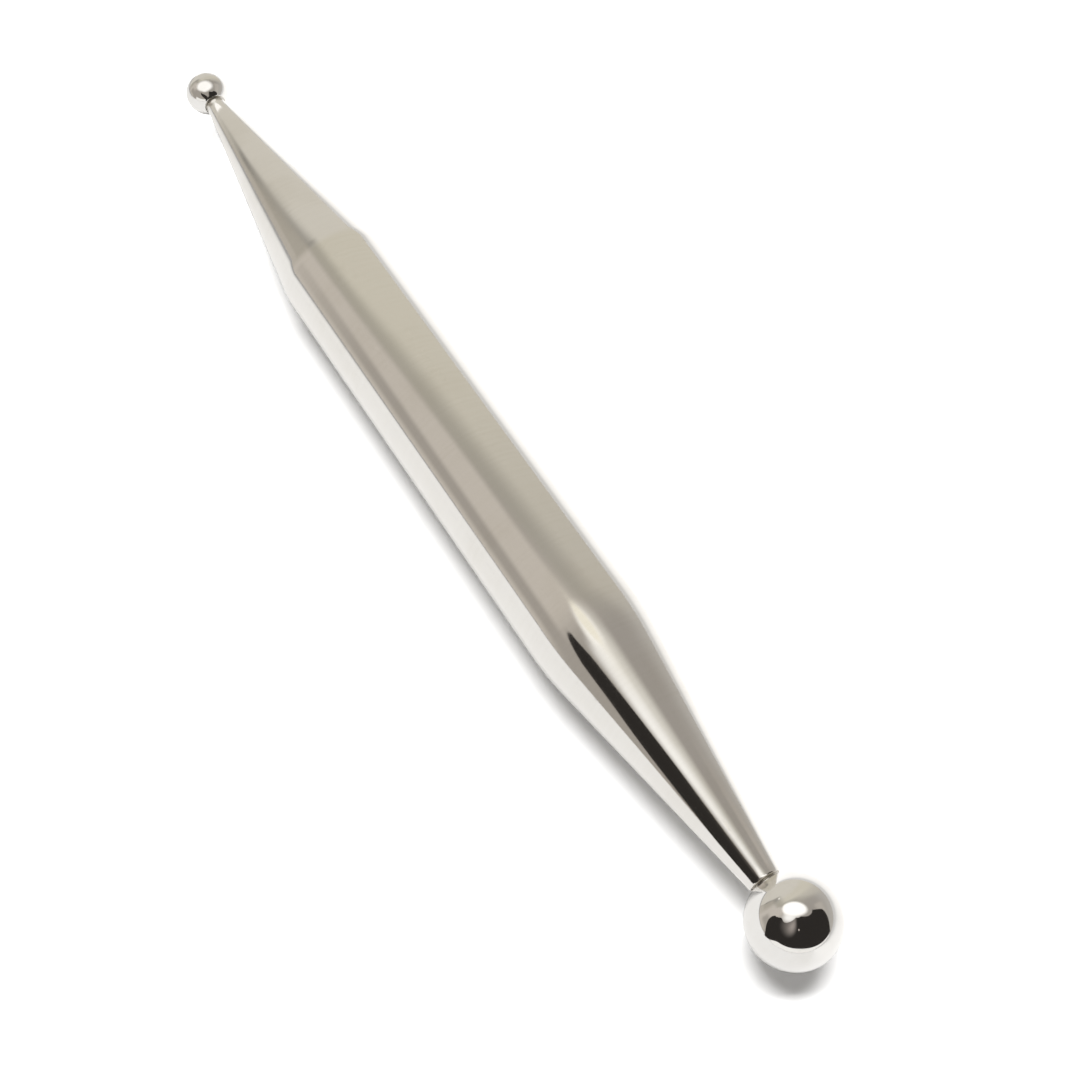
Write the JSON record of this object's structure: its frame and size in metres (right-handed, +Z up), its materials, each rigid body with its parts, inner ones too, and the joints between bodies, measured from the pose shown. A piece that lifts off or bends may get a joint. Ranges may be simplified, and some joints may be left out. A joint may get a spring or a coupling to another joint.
{
  "type": "ball modelling tool",
  "caption": "Double-ended modelling tool: a polished metal grip tapers to a large ball at one end and a small ball at the other.",
  "frame": {"origin": "on the ground under the middle of the tool's whole length, on the vertical plane through its axis", "axes": "+X along the tool's axis towards the large ball, +Y across the tool, +Z up from the ground that the grip lies on"},
  "size_m": [0.1266, 0.012, 0.012],
  "materials": {
    "bar_steel": "polished stainless steel with fine turning and polishing lines",
    "ball_steel": "mirror-polished stainless steel bearing ball",
    "braze": "silver brazing metal, smooth as flowed, slightly dull"
  },
  "bodies": {
    "root": {"handle": "bar_steel", "large_ball": "ball_steel", "large_ball_braze": "braze", "small_ball": "ball_steel", "small_ball_braze": "braze"}
  },
  "joints": []
}
